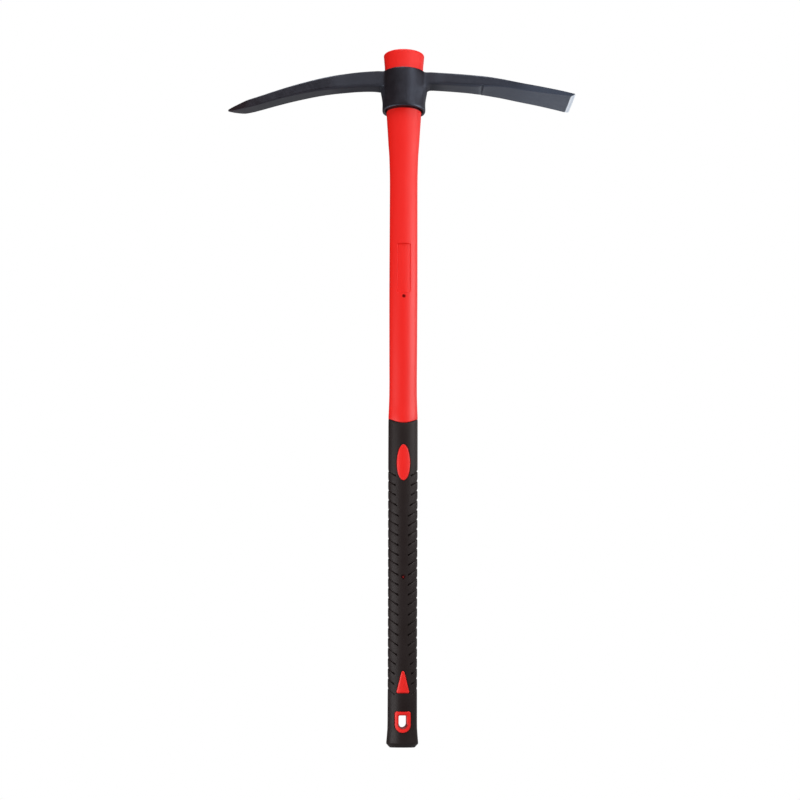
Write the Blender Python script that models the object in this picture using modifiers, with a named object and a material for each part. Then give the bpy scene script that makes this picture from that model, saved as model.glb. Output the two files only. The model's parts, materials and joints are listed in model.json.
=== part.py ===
import math

import bmesh
import bpy
from mathutils import Matrix

# Driving sizes in metres. The tool stands on its butt: +Z runs up the handle, the pick points to -X,
# the blade to +X, and the face with the label panel looks to -Y.
handleLength = 0.900
gripLength = 0.4017
depthRatio = 0.78
buttWidth = 0.0384
buttFlare = 0.0320
buttBevel = 0.0042
buttBevelHeight = 0.0046
waistWidth = 0.0355
waistLength = 0.0340
gripWidth = 0.0370
neckWidth = 0.0345
shoulderLength = 0.0454
swellLength = 0.1276
shaftWidth = 0.0359
flareLength = 0.1950
taperLength = 0.0890
footWidth = 0.0456
seatWidth = 0.0508
topWidth = 0.0544
edgeRound = 0.0015

rubberWall = 0.0030
buttWall = 0.0040
scallopDrop = 0.0081
touchGap = 0.0003

coreDiameter = 0.0200
coreFoot = 0.0600
coreSink = 0.0010

ovalWidth = 0.0171
ovalHeight = 0.0454
ovalCentre = 0.3435
arrowWidth = 0.0158
arrowHeight = 0.0260
arrowFoot = 0.0631
arrowRound = 0.0015
slotWidth = 0.0098
slotHeight = 0.0138
slotFoot = 0.0234
slotRound = 0.0014
ringFrame = 0.0046
ringFoot = 0.0064

panelWidth = 0.0168
panelHeight = 0.0656
panelCentre = 0.5972
panelSink = 0.0004
panelRound = 0.0014
shaftPin = 0.0044
shaftPinHeight = 0.5592
gripPin = 0.0047
gripPinHeight = 0.2017
shaftPinSink = 0.0016
gripPinSink = 0.0006

grooveCount = 23
groovePitch = 0.01207
grooveTop = 0.3352
grooveDrop = 0.0105
grooveRadius = 0.0009
grooveEnd = 0.0069
grooveMargin = 0.0016

headStand = 0.0270
collarHeight = 0.0550
collarWidth = 0.0578
collarDepth = 0.0470
collarSwell = 0.0028
lipRound = 0.0032
lipRise = 0.0045
mouthChamfer = 0.0012

pickReach = 0.2325
pickFall = 0.0566
pickWidth = 0.0214
pickThickness = 0.0182
bladeReach = 0.2245
bladeFall = 0.0322
neckBreadth = 0.0233
bladeWidth = 0.0567
bladeThickness = 0.0158
armSag = 0.0011
cornerRound = 0.0030
rootFillet = 0.0080

# How far a cutter runs past what it cuts, the gap between two rows of a profile, and the weld distance.
overcut = 0.0040
rowGap = 0.0010
weld = 0.00005
ringSteps = 28

for old in list(bpy.data.objects):
    bpy.data.objects.remove(old, do_unlink=True)


def collection(name):
    group = bpy.data.collections.new(name)
    bpy.context.scene.collection.children.link(group)
    return group


parts = collection("pickaxe")
cutters = collection("pickaxe_cutters")


def place(name, mesh, group=None):
    thing = bpy.data.objects.new(name, mesh)
    (group or cutters).objects.link(thing)
    if group is None:
        thing.hide_render = True
        thing.display_type = "WIRE"
    return thing


def evaluated(thing):
    bpy.context.view_layer.update()
    graph = bpy.context.evaluated_depsgraph_get()
    return bpy.data.meshes.new_from_object(thing.evaluated_get(graph))


def settled(thing):
    # The evaluated mesh takes the object's place, so that a later scale or cut works on plain geometry.
    mesh = evaluated(thing)
    thing.modifiers.clear()
    thing.data = mesh
    return thing


def turned(name, profile, depthScale, group=None):
    # profile: (half-width, height) from the bottom to the top; the screw wants it running down.
    mesh = bpy.data.meshes.new(name)
    points = [(half, 0, height) for half, height in reversed(profile)]
    mesh.from_pydata(points, [(i, i + 1) for i in range(len(points) - 1)], [])
    thing = place(name, mesh, group)
    screw = thing.modifiers.new("turn", "SCREW")
    screw.steps = screw.render_steps = ringSteps
    screw.use_merge_vertices = True
    screw.merge_threshold = weld
    settled(thing)
    thing.data.transform(Matrix.Diagonal((1, depthScale, 1, 1)))
    return thing


def prism(name, outline, near=-topWidth, far=topWidth):
    # outline: (x, z) points, extruded along Y from near to far.
    mesh = bpy.data.meshes.new(name)
    mesh.from_pydata([(x, near, z) for x, z in outline], [], [tuple(range(len(outline)))])
    thing = place(name, mesh)
    thick = thing.modifiers.new("thicken", "SOLIDIFY")
    thick.thickness = far - near
    thick.offset = 1 if mesh.polygons[0].normal.y > 0 else -1
    return settled(thing)


def lofted(name, rings, group=None):
    count = len(rings[0])
    points = [point for ring in rings for point in ring]
    faces = [tuple(reversed(range(count))), tuple(range(len(points) - count, len(points)))]
    for row in range(len(rings) - 1):
        for i in range(count):
            a, b = row * count + i, row * count + (i + 1) % count
            faces.append((a, b, b + count, a + count))
    mesh = bpy.data.meshes.new(name)
    mesh.from_pydata(points, [], faces)
    return place(name, mesh, group)


def combine(target, other, operation):
    step = target.modifiers.new(operation.lower(), "BOOLEAN")
    step.operation = operation
    step.solver = "EXACT"
    step.object = other
    return target


def hull(circles, grow=0.0, count=32):
    # Outline round a convex set of circles (x, z, radius), by the furthest point in each direction.
    outline = []
    for k in range(count):
        turn = 2 * math.pi * (k + 0.5) / count
        dx, dz = math.cos(turn), math.sin(turn)
        x, z, radius = max(circles, key=lambda c: c[0] * dx + c[1] * dz + c[2])
        outline.append((x + (radius + grow) * dx, z + (radius + grow) * dz))
    return outline


def archway(width, height, foot, corner):
    # A U-shaped opening: small corner circles at its flat top, one across its whole width at its foot.
    side, top = width / 2 - corner, foot + height - corner
    return [(-side, top, corner), (side, top, corner), (0, foot + width / 2, width / 2)]


def blend(rows, value):
    for (x0, y0), (x1, y1) in zip(rows, rows[1:]):
        if value <= x1:
            return y0 + (y1 - y0) * max(0.0, (value - x0) / (x1 - x0))
    return rows[-1][1]


# The handle's half-widths over its height, as the mould gives them. Each stretch runs between two heights
# and two widths, and its pairs are shares: how far along it, and how far from its first width to its last.
headTop = handleLength - headStand
collarFoot = headTop - collarHeight
waistFoot = buttFlare + waistLength
neckTop = gripLength + shoulderLength
flareFoot = handleLength - flareLength
taperFoot = handleLength - taperLength
buttShares = [(0, 0), (0.10, 0.10), (0.21, 0.32), (0.34, 0.51), (0.45, 0.66), (0.65, 0.92), (1, 1)]
standShares = [(0, 0), (0.36, 0.20), (0.60, 0.49), (0.85, 0.79), (1, 1)]
flareShares = [(0, 0), (0.163, 0.025), (0.324, 0.115), (0.487, 0.269), (0.640, 0.506), (0.804, 0.724), (1, 1)]
stretches = [
    (buttBevelHeight, buttFlare, buttWidth, waistWidth, buttShares),
    (waistFoot, gripLength, waistWidth, gripWidth, [(0, 0), (1, 1)]),
    (gripLength, neckTop, gripWidth, neckWidth, [(0.31, 0.44), (0.65, 0.876), (1, 1)]),
    (neckTop, neckTop + swellLength, neckWidth, shaftWidth, [(0.243, 0.31), (0.616, 0.68), (1, 1)]),
    (flareFoot, taperFoot, shaftWidth, footWidth, flareShares),
    (headTop, handleLength - edgeRound, seatWidth, topWidth, standShares),
]
handleRows = [(0, buttWidth / 2 - buttBevel), (buttBevelHeight * 0.9, buttWidth / 2 - buttBevel * 0.12)]
for low, high, before, after, shares in stretches:
    for part, share in shares:
        handleRows.append((low + (high - low) * part, (before + (after - before) * share) / 2))
handleRows.append((handleLength - edgeRound * 0.3, topWidth / 2 - edgeRound * 0.3))
handleRows.append((handleLength, topWidth / 2 - edgeRound))


def handleHalf(height):
    return blend(handleRows, height)


def capped(rows):
    return [(0, rows[0][0])] + [(half, height) for height, half in rows] + [(0, rows[-1][0])]


def insetProfile(inset, foot, top):
    # The handle's own profile, moved inwards, between two heights.
    rows = [(foot, handleHalf(foot) - inset)]
    rows += [(height, half - inset) for height, half in handleRows if foot + rowGap < height < top - rowGap]
    return capped(rows + [(top, handleHalf(top) - inset)])


def insetScale(inset, half):
    # Keeps the inset as deep on the flat faces as on the sides.
    return (half * depthRatio - inset) / (half - inset)


def scallop(lower):
    # The grip's zone: it rises to the sides of the handle and dips in the middle of each face.
    half, steps = gripWidth, 12
    outline = [(-half, -overcut - lower), (half, -overcut - lower)]
    for k in range(steps, -steps - 1, -1):
        x = half * k / steps
        dip = max(0.0, 1 - (x / (gripWidth / 2)) ** 2)
        outline.append((x, gripLength - lower - scallopDrop * dip))
    return outline


def islands(grow):
    turns = [2 * math.pi * (k + 0.5) / 32 for k in range(32)]
    across, along = ovalWidth / 2 + grow, ovalHeight / 2 + grow
    oval = [(math.cos(t) * across, ovalCentre + math.sin(t) * along) for t in turns]
    low, side = arrowFoot + arrowRound, arrowWidth / 2 - arrowRound
    arrow = hull([(-side, low, arrowRound), (side, low, arrowRound),
                  (0, arrowFoot + arrowHeight - arrowRound * 1.1, arrowRound * 1.1)], grow)
    ring = hull(archway(slotWidth + 2 * ringFrame, slotHeight + ringFoot + ringFrame, slotFoot - ringFoot,
                        slotRound + ringFrame * 0.25), grow)
    return [oval, arrow, ring]


def pinHole(name, diameter, height, near, far):
    turns = [2 * math.pi * k / 16 for k in range(16)]
    outline = [(diameter / 2 * math.cos(t), height + diameter / 2 * math.sin(t)) for t in turns]
    return prism(name, outline, near, far)


def grownBody(name, grow):
    # The core body that the rubber is moulded over; grown, it is the rubber's inner face.
    inset = rubberWall - grow
    profile = insetProfile(inset, buttWall - grow, gripLength + overcut)
    return turned(name, profile, insetScale(inset, gripWidth / 2))


# Red jacket: the handle's full skin, less the zone that the rubber fills.
jacket = turned("handle_jacket", capped(handleRows), depthRatio, parts)
rubberZone = prism("jacket_grip_zone", scallop(0))
combine(rubberZone, grownBody("jacket_grip_body", 0), "DIFFERENCE")
for index, outline in enumerate(islands(0)):
    combine(rubberZone, prism(f"jacket_island_{index}", outline), "DIFFERENCE")
combine(jacket, settled(rubberZone), "DIFFERENCE")
boreHalf = coreDiameter / 2 + touchGap
boreRows = [(coreFoot, boreHalf), (handleLength + overcut, boreHalf)]
combine(jacket, turned("jacket_core_bore", capped(boreRows), 1), "DIFFERENCE")
slot = hull(archway(slotWidth, slotHeight, slotFoot, slotRound))
combine(jacket, prism("jacket_hang_slot", slot), "DIFFERENCE")
panelSide, panelTop = panelWidth / 2 - panelRound, panelHeight / 2 - panelRound
panelEnds = (panelCentre - panelTop, panelCentre + panelTop)
panelCorners = [(x, z, panelRound) for x in (-panelSide, panelSide) for z in panelEnds]
panel = prism("jacket_panel", hull(panelCorners), -topWidth, 0)
floorProfile = insetProfile(panelSink, panelCentre - panelHeight, panelCentre + panelHeight)
panelFloor = turned("jacket_panel_floor", floorProfile, insetScale(panelSink, shaftWidth / 2))
combine(panel, panelFloor, "DIFFERENCE")
combine(jacket, settled(panel), "DIFFERENCE")
pins = [("jacket_pin", shaftPin, shaftPinHeight, shaftPinSink),
        ("jacket_grip_pin", gripPin, gripPinHeight, rubberWall + gripPinSink)]
for name, diameter, height, sink in pins:
    pinFloor = handleHalf(height) * depthRatio - sink
    for side, (near, far) in enumerate(((-topWidth, -pinFloor), (pinFloor, topWidth))):
        combine(jacket, pinHole(f"{name}_{side}", diameter, height, near, far), "DIFFERENCE")

# Glass-fibre rod in the jacket's bore, its upper end a little below the handle's top.
coreRows = [(coreFoot + touchGap, coreDiameter / 2), (handleLength - coreSink, coreDiameter / 2)]
core = turned("fibreglass_core", capped(coreRows), 1, parts)

# Rubber grip: what is left of the same skin, a moulding gap away from the jacket, with its tread cut in.
grip = turned("rubber_grip", capped(handleRows), depthRatio, parts)
combine(grip, prism("grip_zone", scallop(touchGap)), "INTERSECT")
combine(grip, grownBody("grip_body", touchGap), "DIFFERENCE")
for index, outline in enumerate(islands(touchGap)):
    combine(grip, prism(f"grip_window_{index}", outline), "DIFFERENCE")
combine(grip, pinHole("grip_pin", gripPin, gripPinHeight, -topWidth, topWidth), "DIFFERENCE")


def islandHalf(height):
    # Half the width of the red island that stands beside a groove's inner end, or nothing.
    share = (height - grooveRadius - arrowFoot) / arrowHeight
    rise = (height - ovalCentre) / (ovalHeight / 2)
    arrow = arrowWidth / 2 * min(1.0, 1.15 - share) if -0.3 < share < 1 else 0.0
    return max(arrow, ovalWidth / 2 * math.sqrt(max(0.0, 1 - rise * rise)))


def treadCurves():
    # Each groove starts at the front's smooth middle band, climbs round the flank and comes down behind.
    curve = bpy.data.curves.new("grip_tread", "CURVE")
    curve.dimensions = "3D"
    curve.bevel_depth = grooveRadius
    curve.bevel_resolution = 0
    curve.use_fill_caps = True
    steps = 7
    for row in range(grooveCount):
        top = grooveTop - row * groovePitch
        for flank in (-1, 1):
            spline = curve.splines.new("POLY")
            spline.points.add(steps)
            for k in range(steps + 1):
                half = handleHalf(top - grooveDrop / 2)
                reach = math.acos(max(grooveEnd, islandHalf(top - grooveDrop) + grooveMargin) / half)
                turn = reach * (2 * k / steps - 1)
                height = top - grooveDrop * abs(turn / math.acos(grooveEnd / half)) ** 1.1
                x, y = flank * half * math.cos(turn), half * depthRatio * math.sin(turn)
                spline.points[k].co = (x, y, height, 1)
    guide = place("grip_tread_guide", curve)
    mesh = evaluated(guide)
    bpy.data.objects.remove(guide, do_unlink=True)
    tubes = bmesh.new()
    tubes.from_mesh(mesh)
    bmesh.ops.remove_doubles(tubes, verts=tubes.verts, dist=weld)
    tubes.to_mesh(mesh)
    tubes.free()
    return place("grip_tread", mesh)


combine(grip, treadCurves(), "DIFFERENCE")


# Forged head. Pick stations: share of the reach, of the fall, of the width, of the thickness, of the corner.
pickRows = [
    (0.160, 0.029, 0.99, 1.06, 1.00), (0.248, 0.048, 0.99, 1.00, 1.00), (0.335, 0.097, 1.00, 0.94, 1.00),
    (0.421, 0.171, 1.00, 0.87, 0.95), (0.505, 0.266, 1.01, 0.81, 0.90), (0.590, 0.370, 1.01, 0.76, 0.90),
    (0.695, 0.508, 0.99, 0.72, 0.85), (0.795, 0.664, 0.96, 0.68, 0.80), (0.860, 0.768, 0.93, 0.63, 0.70),
    (0.905, 0.842, 0.84, 0.54, 0.55), (0.940, 0.896, 0.56, 0.43, 0.45), (0.975, 0.955, 0.27, 0.24, 0.25),
    (1.000, 1.000, 0.10, 0.08, 0.10)]
# Blade stations: here the third number is how far the width has grown from the neck's to the edge's.
bladeRows = [
    (0.165, 0.000, 0.00, 1.00, 1.00), (0.270, 0.033, 0.00, 1.00, 1.00), (0.405, 0.099, 0.02, 0.96, 1.00),
    (0.445, 0.129, 0.07, 0.91, 0.95), (0.457, 0.141, 0.10, 0.83, 0.75), (0.500, 0.198, 0.20, 0.76, 0.70),
    (0.594, 0.347, 0.38, 0.65, 0.60), (0.700, 0.539, 0.55, 0.52, 0.50), (0.800, 0.700, 0.71, 0.38, 0.40),
    (0.900, 0.868, 0.88, 0.28, 0.28), (0.972, 0.967, 0.97, 0.21, 0.12), (1.000, 1.000, 1.00, 0.06, 0.04)]
pickWidths = [pickWidth * row[2] for row in pickRows]
bladeWidths = [neckBreadth + (bladeWidth - neckBreadth) * row[2] for row in bladeRows]

# The arm's blend into the collar: how far back from its first station, how much wider on each face, how much
# deeper below, all in root fillets. The last rows lie inside the collar's wall.
rootRows = [
    (0.25, 0.01, 0.03), (0.50, 0.04, 0.12), (0.68, 0.08, 0.26), (0.84, 0.13, 0.50), (0.94, 0.17, 0.85),
    (1.20, 0.28, 1.45), (1.60, 0.56, 1.60), (2.10, 0.74, 1.60), (2.90, 0.80, 1.60)]


def section(x, top, width, thickness, corner, under=0.0):
    # A bar section with rounded corners; under makes the two lower corners rounder still.
    ring = []
    for cy, cz, start in ((1, 1, 0), (-1, 1, 90), (-1, -1, 180), (1, -1, 270)):
        radius = min(corner + (under if cz < 0 else 0), thickness * 0.45, width * 0.45)
        for step in (0, 45, 90):
            turn = math.radians(start + step)
            y = cy * (width / 2 - radius) + radius * math.cos(turn)
            ring.append((x, y, top - thickness / 2 + cz * (thickness / 2 - radius) + radius * math.sin(turn)))
    return ring


def arm(name, rows, widths, side, reach, fall, thickness):
    rootTop = headTop - armSag
    rings = []
    for back, aside, under in reversed(rootRows):
        x, top = side * (reach * rows[0][0] - rootFillet * back), rootTop - fall * rows[0][1]
        breadth, depth = widths[0] + 2 * rootFillet * aside, thickness * rows[0][3] + rootFillet * under
        rings.append(section(x, top, breadth, depth, cornerRound, rootFillet * under * 0.8))
    for (share, drop, _, thick, corner), width in zip(rows, widths):
        x, top = side * reach * share, rootTop - fall * drop
        rings.append(section(x, top, width, thickness * thick, cornerRound * corner))
    if side < 0:
        rings = [list(reversed(ring)) for ring in rings]
    return lofted(name, rings)


# The collar round the eye: a rounded lower lip, then a slight swell up to the arms and in again at the top.
collarRows = []
for degrees in (0, 30, 60, 90):
    turn = math.radians(degrees)
    inward = lipRound * (1 - math.sin(turn))
    collarRows.append((collarFoot + lipRise * (1 - math.cos(turn)), collarWidth / 2 - inward))
swellShares = [
    (0.16, -0.10), (0.24, -0.07), (0.32, 0.10), (0.41, 0.39), (0.50, 0.75), (0.62, 1.00), (0.80, 0.96),
    (0.91, 0.68), (0.98, 0.39), (1.00, 0.07)]
for rise, out in swellShares:
    collarRows.append((collarFoot + collarHeight * rise, collarWidth / 2 + collarSwell * out))
head = turned("pick_head", capped(collarRows), collarDepth / collarWidth, parts)
pickArm = arm("head_pick_arm", pickRows, pickWidths, -1, pickReach, pickFall, pickThickness)
bladeArm = arm("head_blade_arm", bladeRows, bladeWidths, 1, bladeReach, bladeFall, bladeThickness)
combine(head, pickArm, "UNION")
combine(head, bladeArm, "UNION")


def eyeHalf(height):
    slope = (seatWidth - footWidth) / 2 / (headTop - taperFoot)
    return footWidth / 2 + slope * (height - taperFoot) + touchGap


# The eye follows the handle's taper a clearance away, and opens a little at its lower mouth.
eyeFoot, mouth, eyeTop = collarFoot - overcut, collarFoot + mouthChamfer * 1.5, headTop + overcut
eyeRows = [(eyeFoot, eyeHalf(eyeFoot) + mouthChamfer * 2), (collarFoot, eyeHalf(collarFoot) + mouthChamfer),
           (mouth, eyeHalf(mouth)), (eyeTop, eyeHalf(eyeTop))]
eyeScale = (eyeHalf(collarFoot) - touchGap) * depthRatio + touchGap
combine(head, turned("head_eye", capped(eyeRows), eyeScale / eyeHalf(collarFoot)), "DIFFERENCE")


def finish(thing, colour, roughness, metallic, sharp, coat=0.0):
    material = bpy.data.materials.new(thing.name)
    material.use_nodes = True
    shader = next(node for node in material.node_tree.nodes if node.type == "BSDF_PRINCIPLED")
    shader.inputs["Base Color"].default_value = (*colour, 1)
    shader.inputs["Roughness"].default_value = roughness
    shader.inputs["Metallic"].default_value = metallic
    shader.inputs["Coat Weight"].default_value = coat
    settled(thing)
    thing.data.materials.clear()
    thing.data.materials.append(material)
    thing.data.shade_smooth()
    thing.data.set_sharp_from_angle(angle=math.radians(sharp))


finish(head, (0.045, 0.050, 0.060), 0.48, 0.35, 32, 0.15)
finish(jacket, (0.83, 0.030, 0.024), 0.38, 0.0, 35)
finish(core, (0.66, 0.62, 0.38), 0.55, 0.0, 35)
finish(grip, (0.030, 0.027, 0.029), 0.72, 0.0, 35)
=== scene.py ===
import json
import math
from bisect import bisect_right

import bmesh
import bpy
from mathutils import Matrix, Vector

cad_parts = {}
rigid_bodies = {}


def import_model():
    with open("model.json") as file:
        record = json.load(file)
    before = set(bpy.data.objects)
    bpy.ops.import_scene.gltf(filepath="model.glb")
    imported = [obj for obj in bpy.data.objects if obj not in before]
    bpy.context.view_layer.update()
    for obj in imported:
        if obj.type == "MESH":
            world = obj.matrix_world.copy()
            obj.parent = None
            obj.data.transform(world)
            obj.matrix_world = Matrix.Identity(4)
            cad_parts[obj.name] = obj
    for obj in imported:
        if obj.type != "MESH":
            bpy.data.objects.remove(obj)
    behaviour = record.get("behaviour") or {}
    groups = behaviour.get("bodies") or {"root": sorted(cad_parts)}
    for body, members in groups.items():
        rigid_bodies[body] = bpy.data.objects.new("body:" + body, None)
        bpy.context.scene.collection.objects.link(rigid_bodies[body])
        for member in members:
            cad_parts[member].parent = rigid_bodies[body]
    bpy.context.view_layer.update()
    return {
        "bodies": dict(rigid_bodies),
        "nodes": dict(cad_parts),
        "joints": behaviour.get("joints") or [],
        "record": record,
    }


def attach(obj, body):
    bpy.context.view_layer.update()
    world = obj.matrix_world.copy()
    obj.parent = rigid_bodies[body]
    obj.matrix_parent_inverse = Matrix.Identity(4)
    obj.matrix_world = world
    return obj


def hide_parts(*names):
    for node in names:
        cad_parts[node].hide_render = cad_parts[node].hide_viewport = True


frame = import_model()
print("frame loaded")

mergeWithin = 0.000002  # points closer than this become one
cutReach = 0.03  # cutters through the handle start and end this far from its middle
wireInner, wireOuter = 0.015, 0.018  # radii at which rows are spun before they take the handle's outline


def curveThrough(rows):
    # A smooth function through (place, value) rows that never overshoots.
    places = [row[0] for row in rows]
    values = [row[1] for row in rows]
    rises = [(b[1] - a[1]) / (b[0] - a[0]) for a, b in zip(rows, rows[1:])]
    slopes = [rises[0]]
    for before, after in zip(rises, rises[1:]):
        slopes.append(2 * before * after / (before + after) if before * after > 0 else 0)
    slopes.append(rises[-1])

    def value(at):
        k = min(max(bisect_right(places, at) - 1, 0), len(rises) - 1)
        span = places[k + 1] - places[k]
        t = min(max((at - places[k]) / span, 0), 1)
        low = values[k] * (1 + 2 * t) * (1 - t) ** 2 + slopes[k] * span * t * (1 - t) ** 2
        return low + values[k + 1] * t * t * (3 - 2 * t) - slopes[k + 1] * span * t * t * (1 - t)

    return value


def between(first, second, share):
    return first + (second - first) * share


def softStep(low, high, at):
    t = min(max((at - low) / (high - low), 0), 1)
    return t * t * (3 - 2 * t)


# The handle's outline, shared by the moulding and the grip: height and half-width in metres.
handle = {
    "length": 0.9,
    "flatness": 0.78,
    "rows": [
        (0.0046, 0.0192), (0.0073, 0.01905), (0.0104, 0.01874), (0.0139, 0.01846), (0.0169, 0.01824),
        (0.0224, 0.01787), (0.032, 0.01775), (0.066, 0.01775), (0.4005, 0.0185), (0.415, 0.018),
        (0.4312, 0.01758), (0.4471, 0.01748), (0.4781, 0.0177), (0.5257, 0.01795), (0.5747, 0.01817),
        (0.705, 0.01817), (0.7223, 0.01825), (0.7393, 0.01862), (0.7566, 0.01925), (0.7728, 0.0204),
        (0.7902, 0.02146), (0.811, 0.0228), (0.873, 0.0254), (0.8822, 0.02576), (0.8883, 0.02628),
        (0.8947, 0.02682), (0.8985, 0.0272)],
    "gripTop": 0.4005,
    "scallop": 0.0067,  # how far the grip's top edge dips in the middle of each face
    "coreLevelTo": 0.05,  # further under the grip's top than this, the core's rows are level
    "wall": 0.003,  # rubber over the moulding
    "buttWall": 0.004,
}
handleHalf = curveThrough(handle["rows"])


def skinDepth(x, z):
    # The handle's surface in front of the middle plane.
    half = handleHalf(z)
    return handle["flatness"] * math.sqrt(max(half * half - x * x, 0))


def onHandle(turn, height, inset):
    # The place this far inside the handle's skin.
    half = handleHalf(height)
    across, deep = half - inset, half * handle["flatness"] - inset
    return Vector((across * math.cos(turn), deep * math.sin(turn), height))


def outlineRound(circles, grow=0.0, count=64):
    # Round a set of circles (x, z, radius), by the furthest point in each direction.
    points = []
    for k in range(count):
        turn = 2 * math.pi * (k + 0.5) / count
        across, up = math.cos(turn), math.sin(turn)
        x, z, radius = max(circles, key=lambda c: c[0] * across + c[1] * up + c[2])
        points.append((x + (radius + grow) * across, z + (radius + grow) * up))
    return points


def shown(name, data):
    thing = bpy.data.objects.new(name, data)
    bpy.context.scene.collection.objects.link(thing)
    return thing


def newPiece(name, form):
    mesh = bpy.data.meshes.new(name)
    form.to_mesh(mesh)
    form.free()
    return shown(name, mesh)


def settle(piece):
    # The modifiers' result becomes the mesh.
    bpy.context.view_layer.update()
    graph = bpy.context.evaluated_depsgraph_get()
    mesh = bpy.data.meshes.new_from_object(piece.evaluated_get(graph))
    piece.modifiers.clear()
    piece.data = mesh


def cutAway(piece, form, spared=None):
    # Takes the form away from the piece, but for what lies in the spared form.
    cutter = newPiece("cutter", form)
    if spared:
        cutAway(cutter, spared)
    step = piece.modifiers.new("cut", "BOOLEAN")
    step.operation = "DIFFERENCE"
    step.solver = "EXACT"
    step.object = cutter
    settle(piece)
    bpy.data.objects.remove(cutter, do_unlink=True)


def smoothShade(piece, sharp):
    piece.data.shade_smooth()
    piece.data.set_sharp_from_angle(angle=math.radians(sharp))
    return piece


def spunWire(rows, steps, closed=False):
    # (radius, height, ...) rows spun about the handle's axis; each vertex keeps its row's number.
    form = bmesh.new()
    rowOf = form.verts.layers.int.new("row")
    wire = []
    for index, row in enumerate(rows):
        vert = form.verts.new((row[0], 0, row[1]))
        vert[rowOf] = index
        wire.append(vert)
    ends = wire[1:] + wire[:1] if closed else wire[1:]
    edges = [form.edges.new(pair) for pair in zip(wire, ends)]
    around = {"cent": (0, 0, 0), "axis": (0, 0, 1), "angle": 2 * math.pi}
    bmesh.ops.spin(form, geom=wire + edges, steps=steps, use_merge=True, **around)
    return form


def welded(form):
    bmesh.ops.remove_doubles(form, verts=form.verts, dist=mergeWithin)
    bmesh.ops.recalc_face_normals(form, faces=form.faces)
    return form


def skinRows(height, top, step):
    rows = []
    while height < top:
        rows.append((wireOuter, height, "skin"))
        height += step
    return rows


def turnedForm(rows, steps, placed):
    # placed gives each vertex its final place from its row and its turn.
    form = spunWire(rows, steps)
    rowOf = form.verts.layers.int["row"]
    for vert in form.verts:
        turn = math.atan2(vert.co.y, vert.co.x)
        vert.co = placed(rows[vert[rowOf]], turn)
    return welded(form)


def slabForm(outline, near=-cutReach, far=cutReach):
    # An outline in the XZ plane, extruded along Y.
    form = bmesh.new()
    face = form.faces.new([form.verts.new((x, near, z)) for x, z in outline])
    made = bmesh.ops.extrude_face_region(form, geom=[face])
    moved = [item for item in made["geom"] if isinstance(item, bmesh.types.BMVert)]
    bmesh.ops.translate(form, vec=(0, far - near, 0), verts=moved)
    if len(form.faces) == len(outline) + 1:
        form.faces.new(list(face.verts))
    bmesh.ops.recalc_face_normals(form, faces=form.faces)
    return form


# Islands of red plastic that show through windows in the rubber, on both faces.
islands = {
    "ovalWidth": 0.0166, "ovalHeight": 0.0454, "ovalCentre": 0.3435,
    "ovalLean": 0.055,  # how much fuller the oval is below than above
    "arrowWidth": 0.0152, "arrowHeight": 0.026, "arrowFoot": 0.0631, "arrowRound": 0.0018,
    "slotWidth": 0.0098, "slotHeight": 0.0138, "slotFoot": 0.0234, "slotRound": 0.0014,
    "ringFrame": 0.0046, "ringFoot": 0.0064,
    "proud": 0.00045,  # how far an island stands out of the rubber
    "rim": 0.0012,
    # down the rim: share of its width and depth under the crown
    "rimLoops": (
        (0.0, 0.004), (0.0, 0.00085), (-0.1, 0.00042), (-0.32, 0.00016), (-0.62, 0.00004), (-1.0, 0.0)),
    "slotBevel": 0.0013,
    # down into the slot: share of the bevel, growth beyond that and depth under the crown
    "slotLoops": (
        (1, 0.0003, 0.00002), (1, -0.0001, 0.00018), (0, 0.0002, 0.00135), (0, 0, 0.0017), (0, 0, 0.006)),
    "windowGap": 0.00012,  # between an island and the rubber
    "crease": 0.00075,  # groove in the rubber round each island
    "creaseDepth": 0.0007,
    "creaseMargin": 0.004,  # its cutter ends this far over and under the island
    "crownStep": 0.0012, "crownColumns": 7, "crownRows": 12,  # how finely its crown follows the handle
}


def ovalOutline(grow=0.0, count=64):
    across, along = islands["ovalWidth"] / 2 + grow, islands["ovalHeight"] / 2 + grow
    points = []
    for k in range(count):
        turn = 2 * math.pi * (k + 0.5) / count
        lean = 1 - islands["ovalLean"] * math.sin(turn) * abs(math.cos(turn)) ** 0.5
        points.append((math.cos(turn) * across * lean, islands["ovalCentre"] + math.sin(turn) * along))
    return points


def arrowOutline(grow=0.0):
    radius, foot = islands["arrowRound"], islands["arrowFoot"]
    side = islands["arrowWidth"] / 2 - radius
    tip = foot + islands["arrowHeight"] - radius * 1.1
    circles = [(-side, foot + radius, radius), (side, foot + radius, radius), (0, tip, radius * 1.1)]
    return outlineRound(circles, grow)


def archOutline(width, height, foot, corner, grow):
    side, top = width / 2 - corner, foot + height - corner
    return outlineRound([(-side, top, corner), (side, top, corner), (0, foot + width / 2, width / 2)], grow)


def ringOutline(grow=0.0):
    frame, foot = islands["ringFrame"], islands["ringFoot"]
    width, height = islands["slotWidth"] + 2 * frame, islands["slotHeight"] + foot + frame
    return archOutline(width, height, islands["slotFoot"] - foot, islands["slotRound"] + frame * 0.25, grow)


def slotOutline(grow=0.0):
    sides = islands["slotWidth"], islands["slotHeight"]
    return archOutline(*sides, islands["slotFoot"], islands["slotRound"], grow)


def bothFaces(form):
    # The same shape again on the back of the handle.
    everything = form.verts[:] + form.edges[:] + form.faces[:]
    bmesh.ops.mirror(form, geom=everything, axis="Y", merge_dist=mergeWithin)
    return welded(form)


def extruded(form, edges):
    made = bmesh.ops.extrude_edge_only(form, edges=edges)["geom"]
    kinds = bmesh.types.BMEdge, bmesh.types.BMVert
    return [[item for item in made if isinstance(item, kind)] for kind in kinds]


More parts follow.
